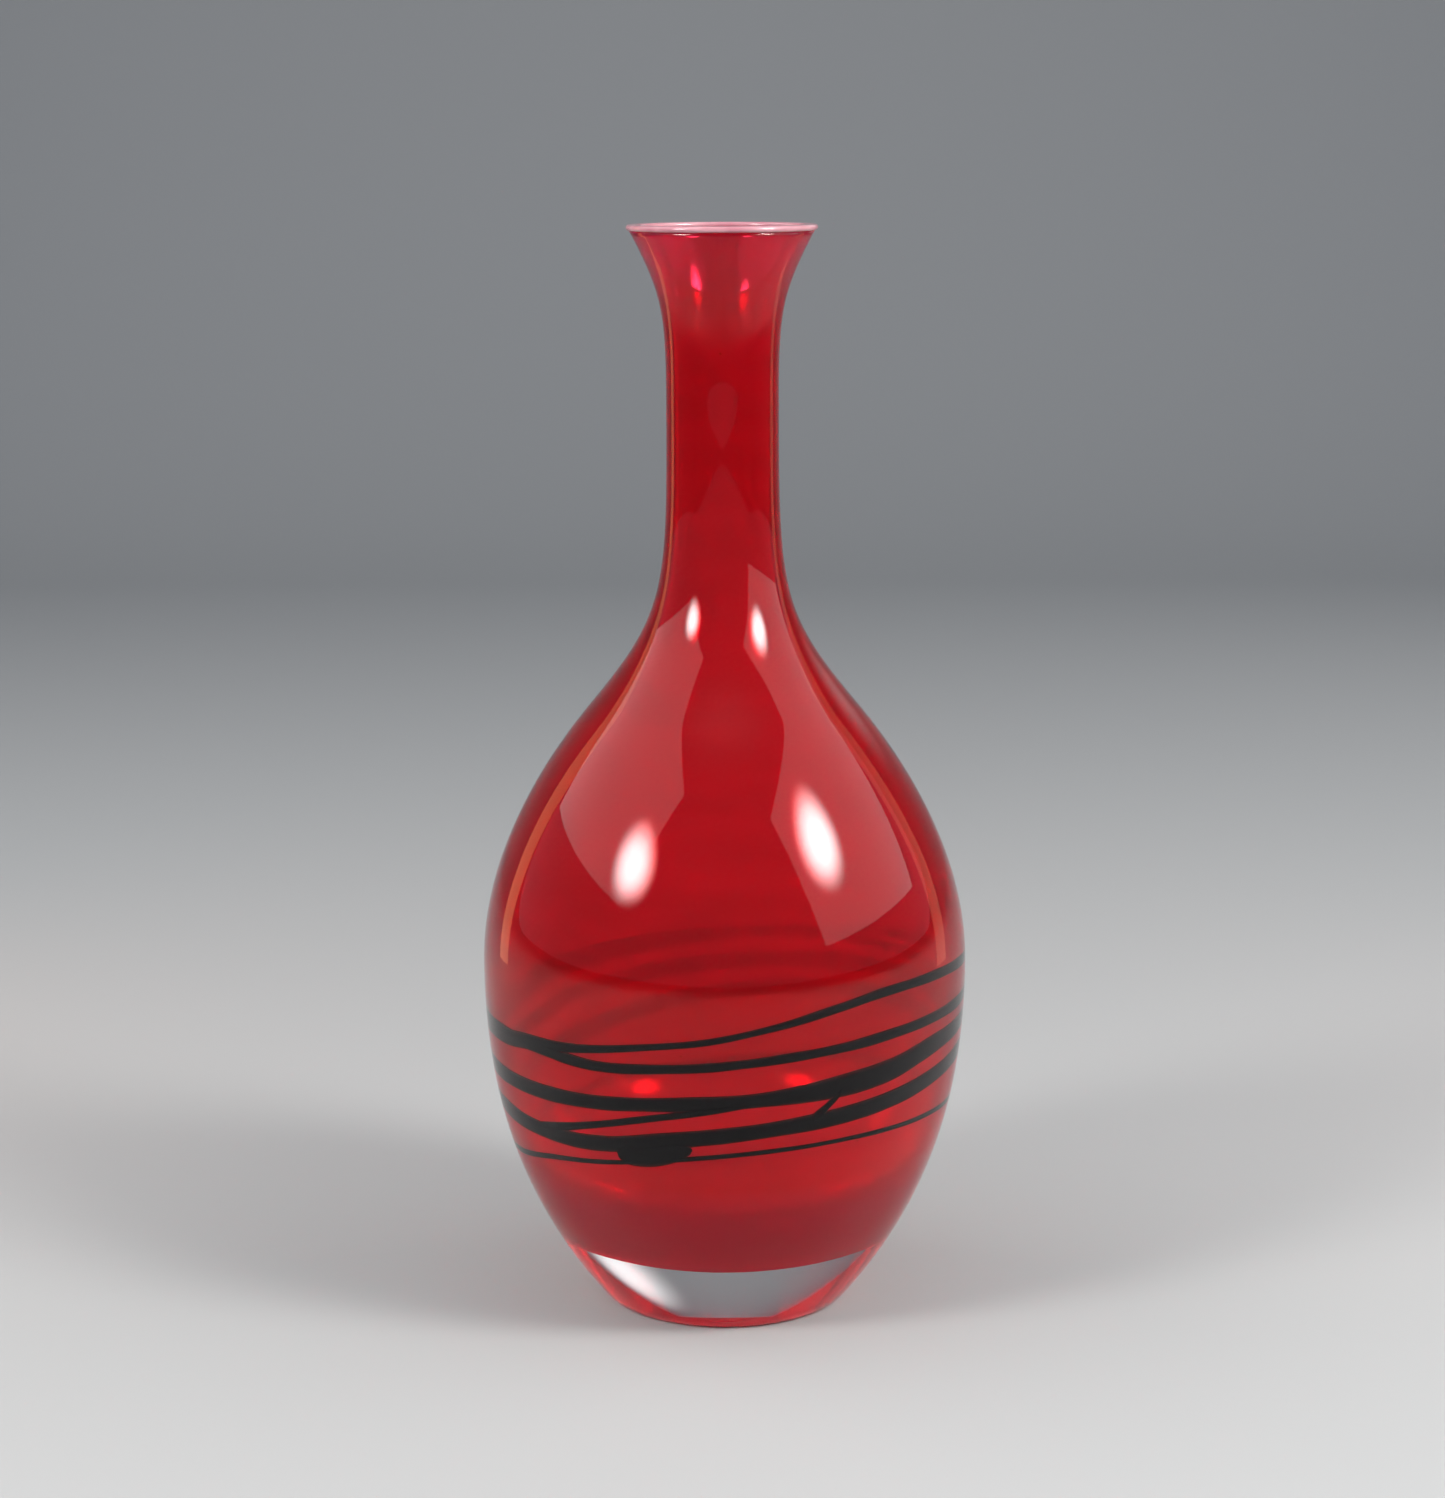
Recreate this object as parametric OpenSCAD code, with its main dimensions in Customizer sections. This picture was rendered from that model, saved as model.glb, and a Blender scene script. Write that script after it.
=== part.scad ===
// Hand blown bottle vase: a ruby bubble wound with black trails and cased in clear glass.
// Origin: centre of the foot, on the surface the vase stands on. +Z is up, towards the mouth.

/* [Outline] */
// Height from the foot to the lip
height = 330; // [320:1:345]
// Radius of the foot
foot_r = 37.4; // [36:0.1:40]
// Lean of the wall at the foot, in degrees from upright
foot_lean = 40.5; // [36:0.5:42]
// Radius of the belly at its widest
belly_r = 74.3; // [70:0.1:78]
// Height of the widest point of the belly
belly_z = 107; // [102:1:112]
// Radius where the shoulder turns up into the neck
shoulder_r = 39.4; // [37:0.1:42]
// Height where the shoulder turns up into the neck
shoulder_z = 187.5; // [184:0.5:192]
// Lean of the shoulder, in degrees from upright
shoulder_lean = 39.3; // [36:0.1:42]
// Radius of the neck at its narrowest
neck_r = 16.9; // [16:0.1:19]
// Height of the narrowest point of the neck
neck_z = 280; // [274:1:286]
// Radius of the mouth over the lip
lip_r = 28.5; // [26:0.1:31]
// Flare of the mouth, in degrees from upright
lip_flare = 28; // [20:1:34]

/* [Glass walls] */
// Thickness of the clear casing round the belly
casing_t = 3.6; // [3:0.1:4.5]
// Thickness of the clear casing at the lip
casing_lip_t = 1.9; // [1.6:0.1:2.4]
// Thickness of the ruby bubble round the belly
ruby_t = 1; // [0.6:0.1:1.4]
// Thickness of the ruby bubble at the lip
ruby_lip_t = 0.7; // [0.5:0.1:0.9]
// Depth of clear glass under the ruby bubble
base_t = 23; // [20:0.5:26]
// Height where the bubble's floor curves up into its side
floor_z = 50; // [46:1:56]
// Height of the hollow ground into the underside
punt_h = 7; // [5:0.5:10]
// Radius of the hollow ground into the underside
punt_r = 32.5; // [28:0.5:34]
// Bevel round the edge of the foot
foot_bevel = 0.8; // [0.4:0.1:1.2]
// Height of the pale band round the lip
lip_band_h = 1.8; // [1.4:0.1:2.4]

/* [Trails] */
// How far the black trails stand out of the ruby bubble
trail_t = 1.1; // [0.8:0.1:1.4]
// Gap left round each trail where the clear glass closes over it
trail_gap = 0.03; // [0.02:0.01:0.05]

/* [Hidden] */

ruby = "#b00020";
clear = "#e6ecea";
pale_pink = "#f2d3d4";
black = "#0b0f10";

// Points in each curve of the outline
steps = 12;
// Reach of each curve's handles, along the outline from foot to lip
foot_reach = 46;
belly_reach_down = 36;
belly_reach_up = 39;
shoulder_reach_down = 10.5;
shoulder_reach_up = 35.3;
neck_reach_down = 58;
neck_reach_up = 25.7;
lip_reach = 21.8;
// Reach of the two handles that round the floor of the bubble
floor_reach = 32;
heel_reach = 20;
// Long enough to pass through the vase in any direction
far = 200;

// A point and its direction on a cubic curve from a to d, with handles b and c
function curve_at(a, b, c, d, t) =
    (1 - t) ^ 3 * a + 3 * (1 - t) ^ 2 * t * b + 3 * (1 - t) * t ^ 2 * c + t ^ 3 * d;
function slope_at(a, b, c, d, t) =
    (1 - t) ^ 2 * (b - a) + 2 * (1 - t) * t * (c - b) + t ^ 2 * (d - c);
function unit(v) = v / norm(v);
// Turns a direction along the wall into the one that faces the axis
function inward(v) = [-v.y, v.x];
function lean(angle) = [sin(angle), cos(angle)];
// A curve as a list of [point, direction], leaving out its last point
function curve(a, b, c, d) =
    [for (i = [0 : steps - 1]) [curve_at(a, b, c, d, i / steps), unit(slope_at(a, b, c, d, i / steps))]];

foot = [foot_r, 0];
belly = [belly_r, belly_z];
shoulder = [shoulder_r, shoulder_z];
neck = [neck_r, neck_z];
lip = [lip_r, height];
up = [0, 1];

// The outside of the vase from foot to lip
wall = concat(
    curve(foot, foot + foot_reach * lean(foot_lean), belly - belly_reach_down * up, belly),
    curve(belly, belly + belly_reach_up * up, shoulder - shoulder_reach_down * lean(-shoulder_lean), shoulder),
    curve(shoulder, shoulder + shoulder_reach_up * lean(-shoulder_lean), neck - neck_reach_down * up, neck),
    curve(neck, neck + neck_reach_up * up, lip - lip_reach * lean(lip_flare), lip),
    [[lip, lean(lip_flare)]]);

// Wall thickness at a height: full up to the belly, then thinning evenly to the lip
function thickness(full, at_lip, z) = lookup(z, [[belly_z, full], [height, at_lip]]);
function casing_at(z) = thickness(casing_t, casing_lip_t, z);
function ruby_at(z) = thickness(ruby_t, ruby_lip_t, z);

// The outside of the ruby bubble: a rounded floor, then a line that runs inside the wall
side = [for (s = wall) if (s[0].y > floor_z) [s[0] + casing_at(s[0].y) * inward(s[1]), s[1]]];
floor_centre = [0, base_t];
bubble = concat(
    curve(floor_centre, floor_centre + [floor_reach, 0], side[0][0] - heel_reach * side[0][1], side[0][0]),
    side);
bubble_line = [for (s = bubble) s[0]];
// The inside of the ruby bubble, which is the vase's own hollow
hollow_line = [for (s = bubble) s[0] + ruby_at(s[0].y) * inward(s[1])];
wall_line = [for (s = wall) s[0]];

function reversed(list) = [for (i = [len(list) - 1 : -1 : 0]) list[i]];

// The underside: a shallow hollow in the middle of a flat ring
punt_sphere_r = (punt_r ^ 2 + punt_h ^ 2) / (2 * punt_h);
function punt_z(r) = punt_h - punt_sphere_r + sqrt(punt_sphere_r ^ 2 - r ^ 2);
underside = concat(
    [for (i = [0 : steps - 1]) [punt_r * i / steps, punt_z(punt_r * i / steps)]],
    [[punt_r, 0], [foot_r - foot_bevel, 0], [foot_r + foot_bevel * tan(foot_lean), foot_bevel]]);

// Each trail's place: [height on the axis, rise to +X in degrees, rise to +Y in degrees, width, widening to +X]
top_lie = [99.5, 8.3, 0, 2.8, -0.8];
second_lie = [93.8, 3.4, 0, 2.6, 0];
broad_lie = [84.7, 5.3, 2.4, 5.6, 1.4];
lower_lie = [73.9, 6.9, 2.5, 5.4, 0];
fine_lie = [56.8, 5.8, -6.8, 1.5, 0];
forked_lie = [66.6, 9.9, -11.3, 1.9, 0];
// Directions between which the forked trail runs, in degrees round from +X
forked_span = [220, 278];
// The stray trail's direction, height, slant, length and width
stray_place = [295, 79.3, 35, 14, 2.4];
// The gob's direction, height, half length and half height
gob_place = [253, 65.5, 8.5, 3];

// A solid of revolution, cut level where the lip band sits
module turned(points) {
    intersection() {
        rotate_extrude($fn = 96) polygon(points);
        translate([-far / 2, -far / 2, -1]) cube([far, far, height - lip_band_h + 1]);
    }
}

// The thin layer over the bubble that holds the trails, from depth below its surface to proud above it
module trail_layer(depth, proud) {
    near = [for (s = bubble) if (s[0].y > base_t + 2 && s[0].y < shoulder_z) s];
    inner = [for (s = near) s[0] + depth * inward(s[1])];
    outer = [for (s = near) s[0] - proud * inward(s[1])];
    rotate_extrude($fn = 96) polygon(concat(inner, reversed(outer)));
}

// Everything on one side of a tilted plane: side 1 is above it, -1 is below it
module half_space(z, rise_x, rise_y, side) {
    translate([0, 0, z]) rotate([rise_y, -rise_x, 0]) translate([-far, -far, side > 0 ? 0 : -far])
        cube([2 * far, 2 * far, far]);
}

// The space between a trail's two edges, grown all round by gap
module slab(lie, gap) {
    intersection() {
        half_space(lie[0] - lie[3] / 2 - gap, lie[1] - lie[4] / 2, lie[2], 1);
        half_space(lie[0] + lie[3] / 2 + gap, lie[1] + lie[4] / 2, lie[2], -1);
    }
}

module sector(span, gap) {
    translate([0, 0, -1]) linear_extrude(height)
        polygon([[0, 0], far * [cos(span[0] - gap), sin(span[0] - gap)],
            far * [cos(span[1] + gap), sin(span[1] + gap)]]);
}

// A bar through the wall, slanted from upright, where the stray trail runs
module stray_bar(gap) {
    rotate([0, 0, stray_place[0]]) translate([belly_r, 0, stray_place[1]]) rotate([stray_place[2], 0, 0])
        cube([belly_r, stray_place[4] + 2 * gap, stray_place[3]], center = true);
}

// An oval plug through the wall where the gob sits
module gob_plug(gap) {
    rotate([0, 0, gob_place[0]]) translate([belly_r / 2, 0, gob_place[1]]) rotate([90, 0, 90])
        linear_extrude(belly_r) polygon([for (a = [0 : 15 : 345])
            [(gob_place[2] + gap) * cos(a), (gob_place[3] + gap) * sin(a)]]);
}

module band(lie, gap = 0) {
    intersection() {
        trail_layer(gap > 0 ? ruby_t / 2 : 0, trail_t + gap);
        slab(lie, gap);
    }
}

module ruby_bubble() {
    color(ruby) turned(concat(bubble_line, reversed(hollow_line)));
}

module clear_casing() {
    color(clear, 0.4) difference() {
        turned(concat(underside, [for (p = wall_line) if (p.y > foot_bevel) p], reversed(bubble_line)));
        intersection() {
            trail_layer(ruby_t / 2, trail_t + trail_gap);
            union() {
                slab(top_lie, trail_gap);
                slab(second_lie, trail_gap);
                slab(broad_lie, trail_gap);
                slab(lower_lie, trail_gap);
                slab(fine_lie, trail_gap);
                intersection() {
                    slab(forked_lie, trail_gap);
                    sector(forked_span, trail_gap);
                }
                stray_bar(trail_gap);
                gob_plug(trail_gap);
            }
        }
    }
}

// A round-edged ring seated on the top of the wall
module lip_band() {
    half = lip_band_h / 2;
    mouth_r = lip_r - (casing_lip_t + ruby_lip_t) / cos(lip_flare);
    color(pale_pink) rotate_extrude($fn = 96) translate([0, height - half])
        polygon(concat(
            [for (a = [-90 : 15 : 90]) [lip_r - half + half * cos(a), half * sin(a)]],
            [for (a = [90 : 15 : 270]) [mouth_r + half * cos(a), half * sin(a)]]));
}

module top_trail() {
    color(black) band(top_lie);
}

module second_trail() {
    color(black) difference() {
        band(second_lie);
        slab(top_lie, trail_gap);
    }
}

module broad_trail() {
    color(black) band(broad_lie);
}

module lower_trail() {
    color(black) band(lower_lie);
}

module fine_trail() {
    color(black) band(fine_lie);
}

module forked_trail() {
    color(black) difference() {
        intersection() {
            band(forked_lie);
            sector(forked_span, 0);
        }
        slab(broad_lie, trail_gap);
        slab(lower_lie, trail_gap);
    }
}

module stray_trail() {
    color(black) difference() {
        intersection() {
            trail_layer(0, trail_t);
            stray_bar(0);
        }
        slab(broad_lie, trail_gap);
        slab(lower_lie, trail_gap);
    }
}

module trail_gob() {
    color(black) difference() {
        intersection() {
            trail_layer(0, trail_t);
            gob_plug(0);
        }
        slab(lower_lie, trail_gap);
        slab(fine_lie, trail_gap);
    }
}

ruby_bubble();
clear_casing();
lip_band();
top_trail();
second_trail();
broad_trail();
lower_trail();
fine_trail();
forked_trail();
stray_trail();
trail_gob();
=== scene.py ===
"""Looks of a hand blown bottle vase: a ruby bubble, wound with black trails and cased in clear glass."""
import math

import bmesh
import bpy
from mathutils import Matrix, Vector, noise


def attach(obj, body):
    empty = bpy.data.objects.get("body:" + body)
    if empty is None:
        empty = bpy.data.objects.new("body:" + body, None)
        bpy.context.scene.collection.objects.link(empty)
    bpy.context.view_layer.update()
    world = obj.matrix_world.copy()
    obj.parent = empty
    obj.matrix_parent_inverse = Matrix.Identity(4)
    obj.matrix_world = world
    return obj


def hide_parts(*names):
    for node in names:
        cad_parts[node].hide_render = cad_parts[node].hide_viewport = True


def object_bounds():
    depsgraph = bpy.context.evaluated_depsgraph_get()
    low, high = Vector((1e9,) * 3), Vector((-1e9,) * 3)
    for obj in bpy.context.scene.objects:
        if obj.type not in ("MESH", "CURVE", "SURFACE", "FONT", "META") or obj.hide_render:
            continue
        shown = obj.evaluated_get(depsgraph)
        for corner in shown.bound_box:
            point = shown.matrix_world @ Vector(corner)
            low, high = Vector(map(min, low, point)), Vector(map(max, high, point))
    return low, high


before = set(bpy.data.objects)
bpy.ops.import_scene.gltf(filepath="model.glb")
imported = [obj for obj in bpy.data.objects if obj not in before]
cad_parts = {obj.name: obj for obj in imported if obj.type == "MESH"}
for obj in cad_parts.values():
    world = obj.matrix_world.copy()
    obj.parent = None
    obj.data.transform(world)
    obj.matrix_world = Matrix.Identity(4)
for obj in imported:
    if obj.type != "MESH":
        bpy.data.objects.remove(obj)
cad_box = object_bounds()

MM = 0.001
scene = bpy.context.scene

# ---------------------------------------------------------------- camera

# The eye stands a little above the lip and looks down at the middle of the vase
EYE_DISTANCE = 940.5 * MM
EYE_OVER_LIP = 24.6 * MM
EYE_TILT = 10.99
EYE_ROLL = 0.22
LENS = 75.45

vase_height = cad_box[1][2] - cad_box[0][2]


def place_camera():
    """Puts the eye in front of the vase, tilted down at it."""
    eye = bpy.data.objects.new("eye", bpy.data.cameras.new("eye"))
    scene.collection.objects.link(eye)
    eye.location = (0.0003, -EYE_DISTANCE, vase_height + EYE_OVER_LIP)
    eye.rotation_euler = (math.radians(90 - EYE_TILT), math.radians(EYE_ROLL), 0)
    eye.data.lens = LENS
    eye.data.sensor_width = 36
    eye.data.clip_start = 0.01
    scene.camera = eye


place_camera()

# ---------------------------------------------------------------- helpers for materials


def colour(code):
    """An sRGB hex value as linear red, green, blue and alpha."""
    parts = [int(code[i:i + 2], 16) / 255 for i in (1, 3, 5)]
    return [p / 12.92 if p <= 0.04045 else ((p + 0.055) / 1.055) ** 2.4 for p in parts] + [1.0]


def new_material(name):
    """An empty material, ready for its nodes."""
    material = bpy.data.materials.new(name)
    material.use_nodes = True
    material.node_tree.nodes.clear()
    return material


def add(material, kind, values=None, stops=(), **settings):
    """Adds a node to a material or a lamp.

    values holds each input's plain value or the socket that feeds it, and stops holds the
    (position, hex colour) pairs of a colour ramp.
    """
    tree = material.node_tree
    node = tree.nodes.new("ShaderNode" + kind)
    for key, value in settings.items():
        setattr(node, key, value)
    while stops and len(node.color_ramp.elements) < len(stops):
        node.color_ramp.elements.new(0.5)
    for i, (position, code) in enumerate(stops):
        node.color_ramp.elements[i].position = position
        node.color_ramp.elements[i].color = colour(code)
    for key, value in (values or {}).items():
        if isinstance(value, bpy.types.NodeSocket):
            tree.links.new(value, node.inputs[key])
        else:
            node.inputs[key].default_value = value
    return node


def in_millimetres(material, stretch=(1, 1, 1)):
    """Object coordinates in millimetres: a noise scale of 1 / d has features d millimetres across."""
    place = add(material, "TexCoord").outputs["Object"]
    scale = [s / MM for s in stretch]
    return add(material, "Mapping", {"Vector": place, "Scale": scale}).outputs["Vector"]


# ---------------------------------------------------------------- materials


def clear_crystal():
    """Clear soda crystal, blown: a hard wet gloss whose reflections swim a little.

    It is clear at the base and takes on the red of the bubble from the bubble's floor up.
    """
    m = new_material("Blown Clear Crystal")
    place = in_millimetres(m)
    level = add(m, "SeparateXYZ", {0: place}).outputs["Z"]
    over = add(m, "MapRange", {"Value": level, "From Min": 42.0, "From Max": 54.0}).outputs["Result"]
    tint = add(m, "ValToRGB", {"Fac": over}, stops=[(0.0, "#ffffff"), (1.0, "#fb4a7c")])
    swell = add(m, "TexNoise", {"Vector": place, "Scale": 1 / 38, "Detail": 1.0}).outputs["Fac"]
    drawn = in_millimetres(m, (1, 1, 0.07))
    cords = add(m, "TexNoise", {"Vector": drawn, "Scale": 1 / 8, "Detail": 1.0}).outputs["Fac"]
    height = add(m, "Math", {0: cords, 1: 0.12, 2: swell}, operation="MULTIPLY_ADD").outputs[0]
    bump = add(m, "Bump", {"Height": height, "Strength": 0.3, "Distance": 0.4 * MM})
    glass = add(m, "BsdfPrincipled", {
        "Base Color": tint.outputs["Color"], "Transmission Weight": 1.0, "Roughness": 0.0, "IOR": 1.5,
        "Specular Tint": (0.5, 0.5, 0.5, 1), "Normal": bump.outputs["Normal"]})
    add(m, "OutputMaterial", {"Surface": glass.outputs[0]})
    return m


def ground_crystal():
    """The same crystal where the foot was ground flat and half polished: a grey satin ring."""
    m = new_material("Ground Crystal")
    glass = add(m, "BsdfPrincipled", {
        "Base Color": (1, 1, 1, 1), "Transmission Weight": 1.0, "Roughness": 0.18, "IOR": 1.5})
    add(m, "OutputMaterial", {"Surface": glass.outputs[0]})
    return m


def fused_seam():
    """Where two glasses were melted together nothing bends or shines, so the seam isn't seen."""
    m = new_material("Fused Glass Seam")
    glass = add(m, "BsdfPrincipled", {
        "Base Color": (1, 1, 1, 1), "Transmission Weight": 1.0, "Roughness": 0.0, "IOR": 1.0})
    add(m, "OutputMaterial", {"Surface": glass.outputs[0]})
    return m


def ruby_skin():
    """Selenium ruby, blown: mostly clear and a little cloudy, with painted light that makes it brighter low
    down on the bubble.
    """
    m = new_material("Selenium Ruby Glass")
    stretched = in_millimetres(m, (1, 1, 4))
    drift = add(m, "TexNoise", {"Vector": stretched, "Scale": 1 / 45, "Detail": 3.0, "Distortion": 0.6})
    # Painted light: the bubble's colour brightens from a little under the belly down to its floor, where
    # the lamps leave it in shade
    level = add(m, "SeparateXYZ", {0: in_millimetres(m)}).outputs["Z"]
    low = add(m, "MapRange", {
        "Value": level, "From Min": 105.0, "From Max": 45.0, "To Min": 0.0, "To Max": 0.7},
        interpolation_type="SMOOTHSTEP").outputs["Result"]
    # pale is the glass's random drift in tone plus the painted light low down
    pale = add(m, "Math", {0: drift.outputs["Fac"], 1: 0.5, 2: low}, operation="MULTIPLY_ADD").outputs[0]
    tint = add(m, "ValToRGB", {"Fac": pale}, stops=[(0.15, "#d61223"), (0.9, "#ff182c")])
    cloud = add(m, "ValToRGB", {"Fac": pale}, stops=[(0.15, "#d80694"), (0.9, "#ff0ab4")])
    body = add(m, "BsdfPrincipled", {
        "Base Color": tint.outputs["Color"], "Transmission Weight": 0.64, "Roughness": 0.0, "IOR": 1.0})
    glow = add(m, "BsdfTranslucent", {"Color": cloud.outputs["Color"]})
    glass = add(m, "MixShader", {0: 0.2, 1: body.outputs[0], 2: glow.outputs[0]})
    add(m, "OutputMaterial", {"Surface": glass.outputs[0]})
    return m


def ruby_lining():
    """The inside of the ruby bubble: fire polished, so it mirrors the lamps a second time, in red."""
    m = new_material("Fire Polished Ruby")
    glass = add(m, "BsdfPrincipled", {
        "Base Color": (1, 1, 1, 1), "Transmission Weight": 1.0, "Roughness": 0.0, "IOR": 1.5,
        "Coat Weight": 1.0, "Coat IOR": 2.0, "Coat Roughness": 0.02})
    add(m, "OutputMaterial", {"Surface": glass.outputs[0]})
    return m


def black_thread():
    """Black glass thread under the casing: no gloss of its own, and its thin edges show a very dark red."""
    m = new_material("Black Glass Thread")
    edge = add(m, "Attribute", attribute_name="edge").outputs["Fac"]
    tint = add(m, "ValToRGB", {"Fac": edge}, stops=[(0.7, "#040708"), (1.0, "#4a060c")])
    glass = add(m, "BsdfPrincipled", {
        "Base Color": tint.outputs["Color"], "Roughness": 0.9, "Specular IOR Level": 0.0})
    add(m, "OutputMaterial", {"Surface": glass.outputs[0]})
    return m


def milk_glass():
    """Pale pink milk glass, fire polished: soft and cloudy inside, glossy outside."""
    m = new_material("Pink Milk Glass")
    place = in_millimetres(m)
    cloud = add(m, "TexNoise", {"Vector": place, "Scale": 1 / 9, "Detail": 2.0}).outputs["Fac"]
    tint = add(m, "ValToRGB", {"Fac": cloud}, stops=[(0.3, "#c77f8b"), (0.7, "#e0a9af")])
    glass = add(m, "BsdfPrincipled", {
        "Base Color": tint.outputs["Color"], "Roughness": 0.12, "IOR": 1.5, "Transmission Weight": 0.45})
    add(m, "OutputMaterial", {"Surface": glass.outputs[0]})
    return m


def matt_card(name, code):
    """Matt paper card, which shows a soft even tone."""
    m = new_material(name)
    card = add(m, "BsdfPrincipled", {"Base Color": colour(code), "Roughness": 0.8})
    add(m, "OutputMaterial", {"Surface": card.outputs[0]})
    return m


crystal = clear_crystal()
ground = ground_crystal()
seam = fused_seam()
ruby = ruby_skin()
lining = ruby_lining()
thread = black_thread()
milk = milk_glass()

# ---------------------------------------------------------------- the outline, in millimetres

# How far the belly stays inside the widest size of the frame
BELLY_GAP = 0.05
HEIGHT = vase_height / MM
BELLY_R = (cad_box[1][0] - cad_box[0][0]) / 2 / MM - BELLY_GAP
BELLY_Z = 107
SHOULDER_R = 39.4
SHOULDER_Z = 187.5
SHOULDER_LEAN = 39.3
NECK_R = 16.9
NECK_Z = 280
LIP_R = 28.5
LIP_FLARE = 28
LIP_BAND_H = 1.8
WALL_TOP = HEIGHT - LIP_BAND_H
FOOT_R = 37.4
FOOT_LEAN = 40.5
FOOT_BEVEL = 0.8
# The punt is the shallow hollow ground into the underside
PUNT_R = 32.5
PUNT_H = 7
PUNT_STEPS = 24
# Clear glass under the bubble, and the height where the bubble's floor curves up into its side
BASE_T = 23
FLOOR_Z = 50
CASING_T = 3.6
CASING_LIP_T = 1.9
RUBY_T = 1.0
RUBY_LIP_T = 0.7
# Reach of each curve's handles, along the outline from foot to lip
FOOT_REACH = 46
BELLY_REACH_DOWN = 36
BELLY_REACH_UP = 39
SHOULDER_REACH_DOWN = 10.5
SHOULDER_REACH_UP = 35.3
NECK_REACH_DOWN = 58
NECK_REACH_UP = 25.7
LIP_REACH = 21.8
# Reach of the two handles that round the floor of the bubble
FLOOR_REACH = 32
HEEL_REACH = 20
# Space left between two glasses that are fused, so that their faces don't coincide
SEAM_GAP = 0.03
CURVE_STEPS = 32
# A turned shape is one wedge of 12 steps, doubled four times
WEDGE_STEPS = 12
DOUBLINGS = 4


def lean(degrees):
    """A direction that leans outwards from upright."""
    return Vector((math.sin(math.radians(degrees)), math.cos(math.radians(degrees))))


def curve(a, b, c, d, steps=CURVE_STEPS):
    """(point, direction) pairs along a cubic curve from a to d with handles b and c, leaving out d."""
    pairs = []
    for i in range(steps):
        t = i / steps
        point = (1 - t) ** 3 * a + 3 * (1 - t) ** 2 * t * b + 3 * (1 - t) * t ** 2 * c + t ** 3 * d
        along = (1 - t) ** 2 * (b - a) + 2 * (1 - t) * t * (c - b) + t ** 2 * (d - c)
        pairs.append((point, along.normalized()))
    return pairs


foot = Vector((FOOT_R, 0))
belly = Vector((BELLY_R, BELLY_Z))
shoulder = Vector((SHOULDER_R, SHOULDER_Z))
neck = Vector((NECK_R, NECK_Z))
lip = Vector((LIP_R, HEIGHT))
up = Vector((0, 1))
in_to_neck = lean(-SHOULDER_LEAN)
# The outside of the vase from foot to lip
WALL = (curve(foot, foot + FOOT_REACH * lean(FOOT_LEAN), belly - BELLY_REACH_DOWN * up, belly)
        + curve(belly, belly + BELLY_REACH_UP * up, shoulder - SHOULDER_REACH_DOWN * in_to_neck, shoulder)
        + curve(shoulder, shoulder + SHOULDER_REACH_UP * in_to_neck, neck - NECK_REACH_DOWN * up, neck)
        + curve(neck, neck + NECK_REACH_UP * up, lip - LIP_REACH * lean(LIP_FLARE), lip)
        + [(lip, lean(LIP_FLARE))])


def thickness(full, at_lip, z):
    """Full up to the belly, then thinning evenly to the lip."""
    return full + (at_lip - full) * max(z - BELLY_Z, 0) / (HEIGHT - BELLY_Z)


def inward(pair, by):
    """The point that lies by millimetres inside a point of the wall."""
    point, along = pair
    return point + by * Vector((-along.y, along.x))


side = [(inward(p, thickness(CASING_T, CASING_LIP_T, p[0].y)), p[1]) for p in WALL if p[0].y > FLOOR_Z]
heel, up_the_side = side[0]
centre = Vector((0, BASE_T))
# The outside of the ruby bubble, and the vase's own hollow inside it
BUBBLE = curve(centre, centre + Vector((FLOOR_REACH, 0)), heel - HEEL_REACH * up_the_side, heel) + side
HOLLOW = [(inward(p, thickness(RUBY_T, RUBY_LIP_T, p[0].y)), p[1]) for p in BUBBLE]


def below_top(pairs, gap=0.0):
    """The points of a line up to the level where the lip band sits, moved inwards by gap."""
    points = [inward(p, gap) for p in pairs]
    points[0].x = max(points[0].x, 0)
    kept = [p for p in points if p.y < WALL_TOP]
    after = points[len(kept)]
    share = (WALL_TOP - kept[-1].y) / (after.y - kept[-1].y)
    return kept + [kept[-1].lerp(after, share)]


def radius_at(pairs, z):
    """The radius of a line at a height."""
    for (low, _), (high, _) in zip(pairs, pairs[1:]):
        if low.y <= z <= high.y:
            return low.x + (high.x - low.x) * (z - low.y) / max(high.y - low.y, 1e-6)
    return pairs[-1][0].x


# ---------------------------------------------------------------- helpers for shapes


def new_piece(name, bm, materials, nodes):
    """Makes a finished mesh a piece of the vase that stands for its CAD nodes."""
    mesh = bpy.data.meshes.new(name)
    bm.to_mesh(mesh)
    bm.free()
    for material in materials:
        mesh.materials.append(material)
    piece = bpy.data.objects.new(name, mesh)
    scene.collection.objects.link(piece)
    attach(piece, "root")
    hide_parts(*nodes)
    return piece


def spin_line(bm, line, slot):
    """Turns a line of (radius, height) points about the axis by one wedge, in a material slot."""
    before = len(bm.faces)
    verts = [bm.verts.new((p[0] * MM, 0, p[1] * MM)) for p in line]
    edges = [bm.edges.new(pair) for pair in zip(verts, verts[1:])]
    wedge = math.tau / 2 ** DOUBLINGS
    bmesh.ops.spin(
        bm, geom=verts + edges, cent=(0, 0, 0), axis=(0, 0, 1), angle=wedge, steps=WEDGE_STEPS)
    bm.faces.ensure_lookup_table()
    for face in bm.faces[before:]:
        face.material_index = slot
        face.smooth = True


def go_round(bm):
    """Doubles a wedge until it goes all the way round."""
    for i in range(DOUBLINGS):
        copy = bmesh.ops.duplicate(bm, geom=bm.verts[:] + bm.edges[:] + bm.faces[:])["geom"]
        verts = [v for v in copy if isinstance(v, bmesh.types.BMVert)]
        turn = Matrix.Rotation(math.tau / 2 ** (DOUBLINGS - i), 3, "Z")
        bmesh.ops.rotate(bm, verts=verts, cent=(0, 0, 0), matrix=turn)


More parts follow.
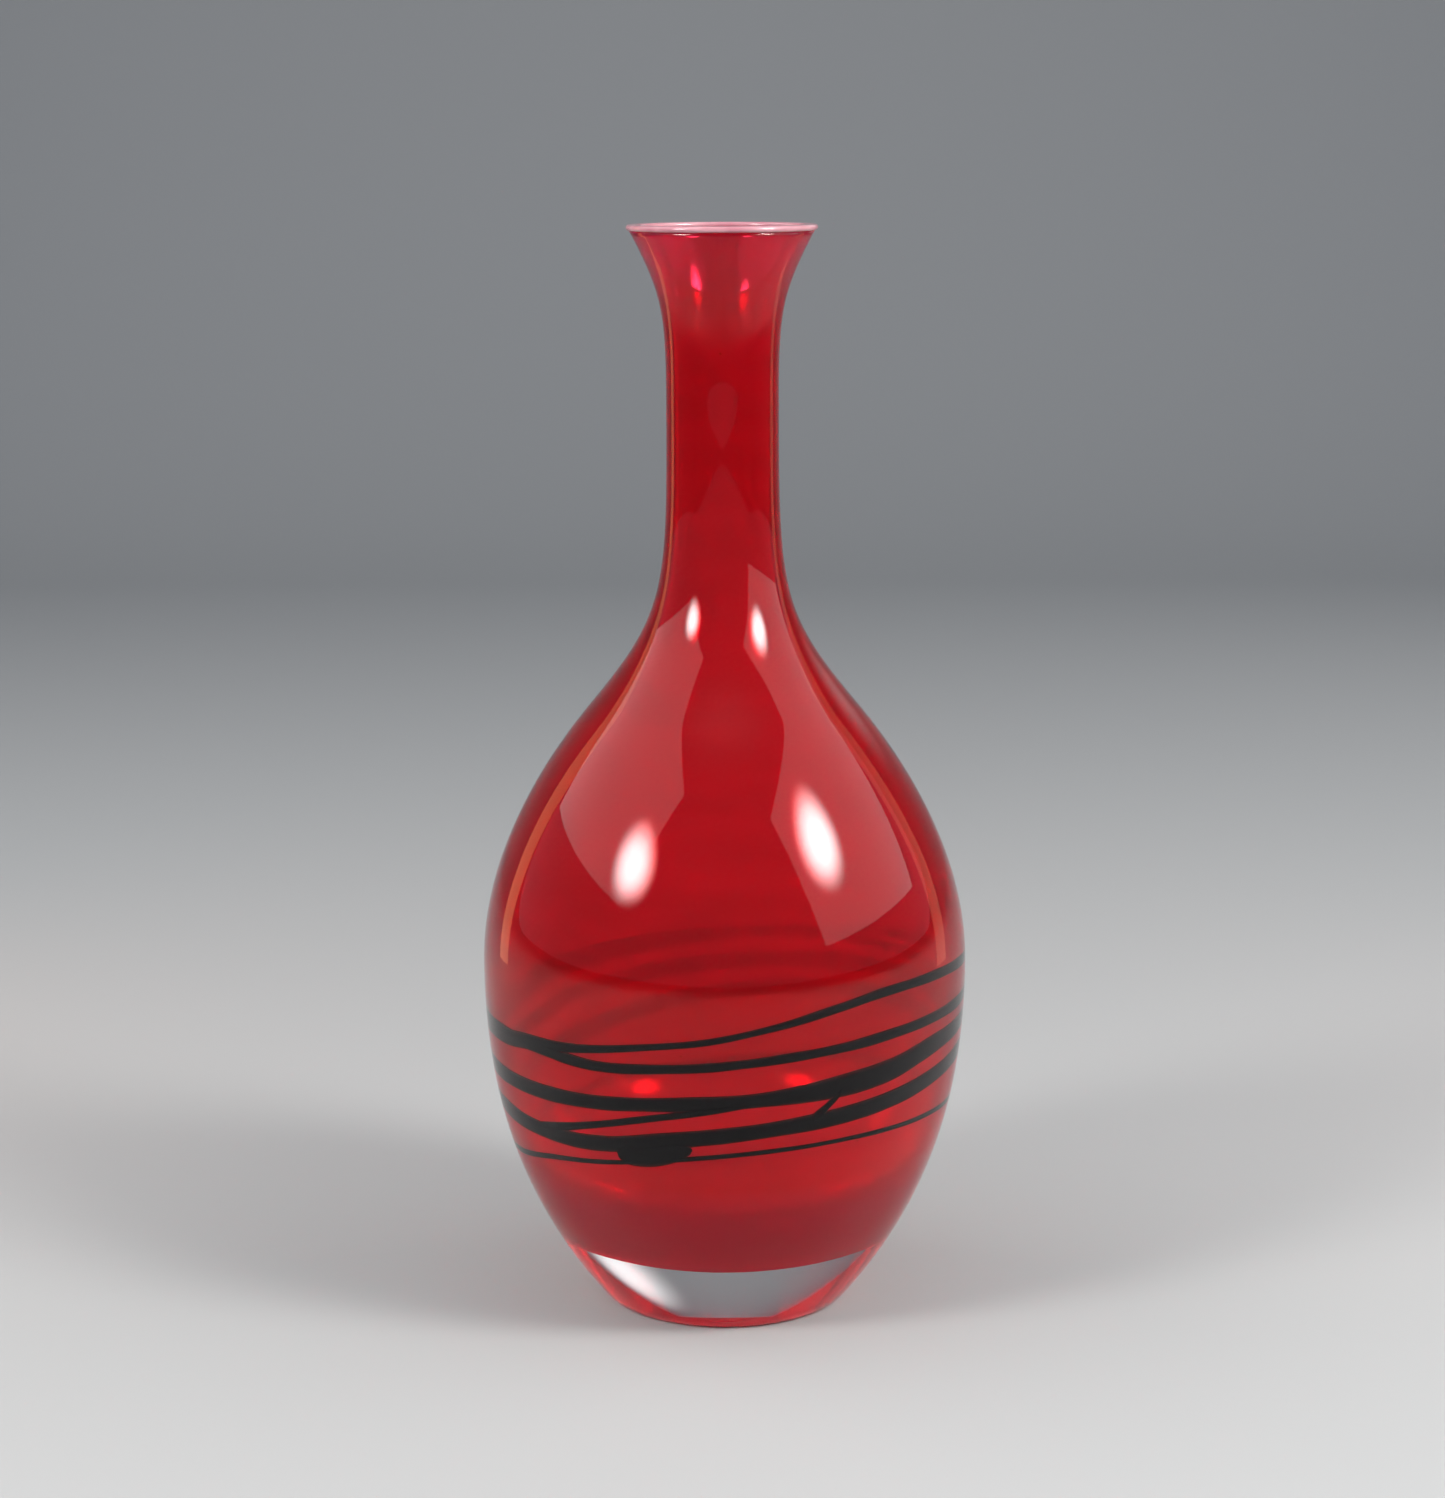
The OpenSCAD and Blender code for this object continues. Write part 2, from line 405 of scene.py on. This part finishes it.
def close_up(bm):
    """Goes round, joins what meets, closes the poles and turns every face outwards."""
    go_round(bm)
    bmesh.ops.remove_doubles(bm, verts=bm.verts, dist=0.002 * MM)
    bmesh.ops.dissolve_degenerate(bm, edges=bm.edges, dist=0.001 * MM)
    bmesh.ops.recalc_face_normals(bm, faces=bm.faces)


# ---------------------------------------------------------------- clear casing


# Seeds are the small air bubbles caught in the clear glass: degrees from the front, height, depth
# and radius
SEEDS = [(-10, 96, 1.6, 0.22), (-9, 91, 1.8, 0.16), (-9, 78, 1.7, 0.2), (-8, 68, 1.6, 0.3),
         (36, 76, 1.5, 0.28), (38, 74, 1.7, 0.22), (33, 79, 1.8, 0.18), (34, 66, 1.6, 0.24),
         (-31, 132, 1.9, 0.16), (-2, 293, 1.2, 0.3), (-118, 120, 1.7, 0.26), (-150, 60, 1.8, 0.24),
         (96, 140, 1.6, 0.2), (140, 88, 1.7, 0.3), (172, 170, 1.5, 0.22), (-172, 45, 3.0, 0.26),
         (60, 18, 9.0, 0.34), (-64, 12, 12.0, 0.28)]


def add_seed(bm, degrees, z, depth, radius):
    """Hollows one seed out of the glass: a tiny ball whose faces look inwards."""
    around = math.radians(degrees)
    from_axis = (radius_at(WALL, z) - depth) * MM
    seed = bmesh.ops.create_icosphere(bm, subdivisions=2, radius=radius * MM)["verts"]
    place = (from_axis * math.sin(around), -from_axis * math.cos(around), z * MM)
    bmesh.ops.translate(bm, verts=seed, vec=place)
    faces = list({face for vert in seed for face in vert.link_faces})
    bmesh.ops.reverse_faces(bm, faces=faces)
    for face in faces:
        face.smooth = True


def clear_casing():
    """The clear gather: outside wall, bevelled foot, ground ring, punt, and the seam round the bubble."""
    bm = bmesh.new()
    corner = (FOOT_R + FOOT_BEVEL * math.tan(math.radians(FOOT_LEAN)), FOOT_BEVEL)
    ring_edge = (FOOT_R - FOOT_BEVEL, 0)
    punt_edge = (PUNT_R, 0)
    # The wall's first points would crowd the bevel, so they are left out
    outside = [corner] + [p for p in below_top(WALL) if p.y > 1.5 * FOOT_BEVEL]
    sphere = (PUNT_R ** 2 + PUNT_H ** 2) / (2 * PUNT_H)
    punt = []
    for i in range(PUNT_STEPS):
        r = PUNT_R * i / PUNT_STEPS
        punt.append((r, PUNT_H - sphere + math.sqrt(sphere ** 2 - r ** 2)))
    seam_line = below_top(BUBBLE)
    spin_line(bm, outside, 0)
    spin_line(bm, [ring_edge, corner], 0)
    spin_line(bm, [punt_edge, ring_edge], 1)
    spin_line(bm, punt + [punt_edge], 0)
    spin_line(bm, seam_line, 2)
    spin_line(bm, [seam_line[-1], outside[-1]], 2)
    close_up(bm)
    for degrees, z, depth, radius in SEEDS:
        add_seed(bm, degrees, z, depth, radius)
    return new_piece("clear_casing_glass", bm, [crystal, ground, seam], ["clear_casing"])


# ---------------------------------------------------------------- ruby bubble


def ruby_bubble():
    """The ruby bubble: its skin lies a hair inside the casing, and its lining is the vase's hollow."""
    bm = bmesh.new()
    skin = below_top(BUBBLE, SEAM_GAP)
    hollow = below_top(HOLLOW)
    spin_line(bm, skin, 0)
    spin_line(bm, hollow, 1)
    spin_line(bm, [skin[-1], hollow[-1]], 0)
    close_up(bm)
    return new_piece("ruby_bubble_glass", bm, [ruby, lining], ["ruby_bubble"])


# ---------------------------------------------------------------- lip band


def lip_band():
    """A round-edged ring of milk glass that sits on the top of the wall."""
    bm = bmesh.new()
    half = LIP_BAND_H / 2
    outer = lip.x - half
    inner = lip.x - (CASING_LIP_T + RUBY_LIP_T) / math.cos(math.radians(LIP_FLARE))
    middle = HEIGHT - half
    turns = [math.radians(a) for a in range(-90, 91, 15)]
    section = [(outer + half * math.cos(a), middle + half * math.sin(a)) for a in turns]
    section += [(inner - half * math.cos(a), middle - half * math.sin(a)) for a in turns]
    spin_line(bm, section + section[:1], 0)
    close_up(bm)
    return new_piece("lip_band_glass", bm, [milk], ["lip_band"])


# ---------------------------------------------------------------- black trails

# A trail's route: (degrees round from the front towards +X, height, width), in the order it was laid
TOP = [(-180, 95, 2.8), (-140, 91, 3.4), (-110, 89.3, 4.0), (-71, 90.1, 4.3), (-55, 92.1, 4.2),
       (-40, 93.9, 2.6), (-21, 97.2, 1.8), (-5, 99.8, 1.7), (11, 103.8, 1.9), (28, 108, 2.2),
       (46, 110.6, 2.4), (77, 109.4, 2.7), (110, 105.5, 2.8), (145, 100, 2.6)]
SECOND = [(-180, 96, 2.6), (-140, 94, 3.2), (-110, 92.5, 3.4), (-80, 91.8, 3.3), (-51, 91.6, 3.3),
          (-40, 90.6, 3.0), (-29, 90.3, 2.7), (-9, 91.9, 2.4), (5, 93.6, 2.3), (19, 95, 2.4),
          (31, 96, 2.6), (47, 97.5, 2.8), (78, 98, 3.1), (110, 98, 2.9), (145, 97.2, 2.6)]
BROAD = [(-180, 86, 4.4), (-140, 82, 4.0), (-105, 78.5, 4.3), (-75, 77.5, 4.6), (-62, 77.6, 4.2),
         (-42, 78.2, 3.9), (-17, 80.3, 3.7), (7, 82.3, 4.1), (19, 83.2, 4.8), (32, 84.6, 5.8),
         (44, 86.4, 5.9), (57, 89, 5.4), (77, 90.4, 4.9), (110, 91, 4.6), (145, 89, 4.6)]
LOWER = [(-180, 76, 4.3), (-140, 70, 4.2), (-105, 66.5, 4.6), (-75, 66, 5.0), (-60, 65.2, 4.4),
         (-43, 65, 4.3), (-31, 66.1, 4.4), (-20, 68, 4.6), (-5, 70.8, 4.4), (10, 72.8, 4.2),
         (24, 74.2, 4.4), (35, 75.6, 4.6), (48, 77.4, 4.7), (77, 81, 4.7), (110, 82.3, 4.5),
         (145, 80, 4.4)]
FINE = [(-180, 55, 1.6), (-140, 52, 1.7), (-105, 51.5, 1.7), (-74, 52.4, 1.7), (-49, 57, 1.4),
        (-32, 59.9, 1.3), (-10, 63.6, 1.3), (5, 65.5, 1.3), (20, 66.5, 1.2), (43, 67.2, 1.3),
        (75, 66, 1.5), (110, 63, 1.6), (145, 59, 1.6)]
FORKED = [(12, 83, 3.0), (7, 81.6, 2.2), (-9, 77.9, 1.9), (-19, 75.6, 1.9), (-30, 72.6, 1.9),
          (-49, 66.8, 2.6), (-56, 65.4, 3.0)]
STRAY = [(29, 84.5, 3.6), (27.5, 81.6, 2.6), (25, 78.6, 2.3), (22, 75.4, 3.2), (21, 73.6, 4.2)]
GOB = [(-28, 64.4, 5.6), (-24, 64.0, 6.6), (-19, 64.1, 6.8), (-14, 65.0, 6.0), (-8, 66.6, 3.6)]

# Each trail's name, its route, whether it meets its own start again, and how far it lies off the bubble
TRAILS = [("top_trail", TOP, True, 0.10), ("second_trail", SECOND, True, 0.12),
          ("broad_trail", BROAD, True, 0.14), ("lower_trail", LOWER, True, 0.16),
          ("fine_trail", FINE, True, 0.18), ("forked_trail", FORKED, False, 0.20),
          ("stray_trail", STRAY, False, 0.22), ("trail_gob", GOB, False, 0.24)]

TRAIL_T = 1.0
TRAIL_SECTION = 12
TRAIL_STEPS = 360
# The threads spread a little as the clear glass is gathered over them
TRAIL_SPREAD = 1.2
# How short the rounded ends of an open thread are
ROUND_END = 5
# How much a hand-laid thread swells and thins, as a share of its width, and wanders in height
SWELLING = 0.12
WANDER = 0.25
# Before it is laid on its route, a thread is a plain ring of this radius about the axis
START_R = 3
# Degrees that the ring of an open thread covers
OPEN_TURN = 300


def wound(route, turn, loop):
    """Degrees, height and width at a share of a route's length, on a smooth curve through its points."""
    count = len(route)
    last = count if loop else count - 1
    place = min(turn * last, last - 1e-6)
    i = int(place)
    t = place - i

    def point(k):
        if not loop:
            return Vector(route[max(0, min(k, count - 1))])
        degrees, z, width = route[k % count]
        return Vector((degrees + 360 * (k // count), z, width))

    a, b, c, d = (point(i + k) for k in (-1, 0, 1, 2))
    bend = 2 * a - 5 * b + 4 * c - d
    twist = 3 * b - a - 3 * c + d
    return 0.5 * (2 * b + (c - a) * t + bend * t ** 2 + twist * t ** 3)


def start_thread(bm, angle, steps, loop):
    """A round thread about the axis, as long as the angle it turns through."""
    ring = bmesh.ops.create_circle(bm, segments=TRAIL_SECTION, radius=1.0)["verts"]
    bmesh.ops.translate(bm, verts=ring, vec=(START_R, 0, 0))
    upright = Matrix.Rotation(math.radians(90), 3, "X")
    bmesh.ops.rotate(bm, verts=ring, cent=(START_R, 0, 0), matrix=upright)
    bmesh.ops.spin(
        bm, geom=ring + list(bm.edges), cent=(0, 0, 0), axis=(0, 0, 1), angle=angle, steps=steps,
        use_merge=loop)


def trail(name, route, loop, lift):
    """Lays a thread of glass along a route on the bubble: flat below, rounded above, of hand-made width."""
    bm = bmesh.new()
    steps = TRAIL_STEPS if loop else max(24, 5 * len(route))
    angle = math.tau if loop else math.radians(OPEN_TURN)
    start_thread(bm, angle, steps, loop)
    edge = bm.verts.layers.float.new("edge")
    for vert in bm.verts:
        out = math.hypot(vert.co.x, vert.co.y) - START_R
        across = vert.co.z
        turn = (math.atan2(vert.co.y, vert.co.x) % math.tau) / angle
        # The first ring's angle can come out a hair under a whole turn
        if turn > 1.02:
            turn = 0.0
        degrees, z, width = wound(route, min(turn, 1.0), loop)
        ripple = noise.noise(Vector((degrees / 14, z / 9, lift * 10)))
        width *= TRAIL_SPREAD * (1 + SWELLING * ripple)
        z += WANDER * noise.noise(Vector((degrees / 20, 5, lift * 10)))
        near_end = 1.0 if loop else min(1.0, ROUND_END * turn, ROUND_END * (1 - turn))
        # A tip keeps a fiftieth of the thread's size, so that its end can be closed
        taper = math.sqrt(max(near_end * (2 - near_end), 0.0004))
        height = z + across * width / 2 * taper
        # The underside is pressed nearly flat on the bubble
        rise = TRAIL_T * taper * max(out, -0.05 * taper)
        depth = radius_at(BUBBLE, height) + SEAM_GAP + lift + rise
        vert[edge] = abs(across)
        around = math.radians(degrees)
        vert.co = Vector((depth * math.sin(around), -depth * math.cos(around), height)) * MM
    if not loop:
        bmesh.ops.holes_fill(bm, edges=[e for e in bm.edges if e.is_boundary], sides=0)
    for face in bm.faces:
        face.smooth = True
    bmesh.ops.recalc_face_normals(bm, faces=bm.faces)
    return new_piece(name + "_glass", bm, [thread], [name])


clear_casing()
ruby_bubble()
lip_band()
for name, route, loop, lift in TRAILS:
    trail(name, route, loop, lift)

# ---------------------------------------------------------------- floor, backdrop and light


# The floor's card in metres: half its width, its front edge, where it starts to bend up, and its top
CARD_HALF = 4.0
CARD_FRONT = -3.0
CARD_BACK = 1.6
CARD_BEND = 0.8
CARD_TOP = 3.5
BEND_STEPS = 12
# The card lies this far under the foot, so that their faces don't coincide
CARD_GAP = 0.15 * MM


def sweep():
    """A pale floor that curves up into a pale wall far behind the vase."""
    bm = bmesh.new()
    line = [(CARD_FRONT, 0.0), (0.0, 0.0), (CARD_BACK, 0.0)]
    for i in range(1, BEND_STEPS + 1):
        a = math.pi / 2 * i / BEND_STEPS
        line.append((CARD_BACK + CARD_BEND * math.sin(a), CARD_BEND - CARD_BEND * math.cos(a)))
    line.append((CARD_BACK + CARD_BEND, CARD_TOP))
    verts = [bm.verts.new((-CARD_HALF, y, z - CARD_GAP)) for y, z in line]
    edges = [bm.edges.new(pair) for pair in zip(verts, verts[1:])]
    moved = bmesh.ops.extrude_edge_only(bm, edges=edges)["geom"]
    far_side = [v for v in moved if isinstance(v, bmesh.types.BMVert)]
    bmesh.ops.translate(bm, verts=far_side, vec=(2 * CARD_HALF, 0, 0))
    for face in bm.faces:
        face.smooth = True
    mesh = bpy.data.meshes.new("studio_sweep")
    bm.to_mesh(mesh)
    bm.free()
    mesh.materials.append(matt_card("Pale Grey Card", "#989896"))
    floor = bpy.data.objects.new("studio_sweep", mesh)
    scene.collection.objects.link(floor)


def fade(lamp, middle):
    """Makes a lamp dark at its rim. middle is the share of it that keeps the full light."""
    lamp.use_nodes = True
    tree = lamp.node_tree
    tree.nodes.clear()
    place = add(lamp, "NewGeometry").outputs["Parametric"]
    spot = add(lamp, "VectorMath", {0: place, 1: (0.5, 0.5, 0)}, operation="SUBTRACT").outputs[0]
    flat = add(lamp, "VectorMath", {0: spot, 1: (2, 2, 0)}, operation="MULTIPLY").outputs[0]
    far = add(lamp, "VectorMath", {0: flat}, operation="LENGTH").outputs["Value"]
    level = add(lamp, "MapRange", {
        "Value": far, "From Min": middle, "From Max": 1.0, "To Min": 1.0, "To Max": 0.0},
        interpolation_type="SMOOTHERSTEP").outputs["Result"]
    light = add(lamp, "Emission", {"Strength": level})
    add(lamp, "OutputLight", {"Surface": light.outputs[0]})


# Every lamp looks at this height on the vase's axis
AIM_Z = 0.12


def softbox(name, degrees, elevation, distance, width, height, radiance, warmth="#ffffff", middle=None):
    """A soft lamp that looks at the belly of the vase.

    Degrees run round from the front towards +X, lengths are in metres, and radiance is how bright
    its face is. A middle makes the lamp oval and fades it towards its rim.
    """
    lamp = bpy.data.objects.new(name, bpy.data.lights.new(name, "AREA"))
    scene.collection.objects.link(lamp)
    lamp.data.shape = "RECTANGLE" if middle is None else "ELLIPSE"
    lamp.data.size = width
    lamp.data.size_y = height
    lamp.data.energy = radiance * math.pi * width * height
    lamp.data.color = colour(warmth)[:3]
    a = math.radians(degrees)
    e = math.radians(elevation)
    toward = Vector((math.sin(a) * math.cos(e), -math.cos(a) * math.cos(e), math.sin(e)))
    lamp.location = Vector((0, 0, AIM_Z)) + distance * toward
    lamp.rotation_euler = toward.to_track_quat("Z", "Y").to_euler()
    if middle is not None:
        fade(lamp.data, middle)


sweep()
softbox("left_softbox", -86, 44, 1.3, 1.6, 1.0, 1.8)
softbox("left_lamp", -52, 31, 1.25, 0.6, 0.56, 38, middle=0.1)
softbox("right_softbox", 78, 33, 1.3, 1.6, 1.1, 1.8)
softbox("right_lamp", 59, 35, 1.25, 0.62, 0.66, 41, middle=0.1)
softbox("left_strip", -122, 12, 0.6, 0.1, 0.6, 2.0, "#f0a070")
softbox("right_strip", 118, 12, 0.6, 0.1, 0.6, 1.3, "#f0a080")
softbox("back_light", 150, 24, 1.5, 1.1, 0.9, 0.8, middle=0.0)
softbox("overhead", 0, 90, 2.0, 2.8, 2.8, 0.8, middle=0.0)

# A dim cool room fills the shadows
room = bpy.data.worlds.new("room")
scene.world = room
room.use_nodes = True
room.node_tree.nodes["Background"].inputs["Color"].default_value = colour("#d6e1f7")
room.node_tree.nodes["Background"].inputs["Strength"].default_value = 0.45

# Glass behind glass behind glass: a ray crosses many faces before it reaches the room
scene.cycles.sample_clamp_indirect = 0
scene.cycles.max_bounces = 24
scene.cycles.transmission_bounces = 24
scene.cycles.transparent_max_bounces = 32
scene.view_settings.view_transform = "Standard"
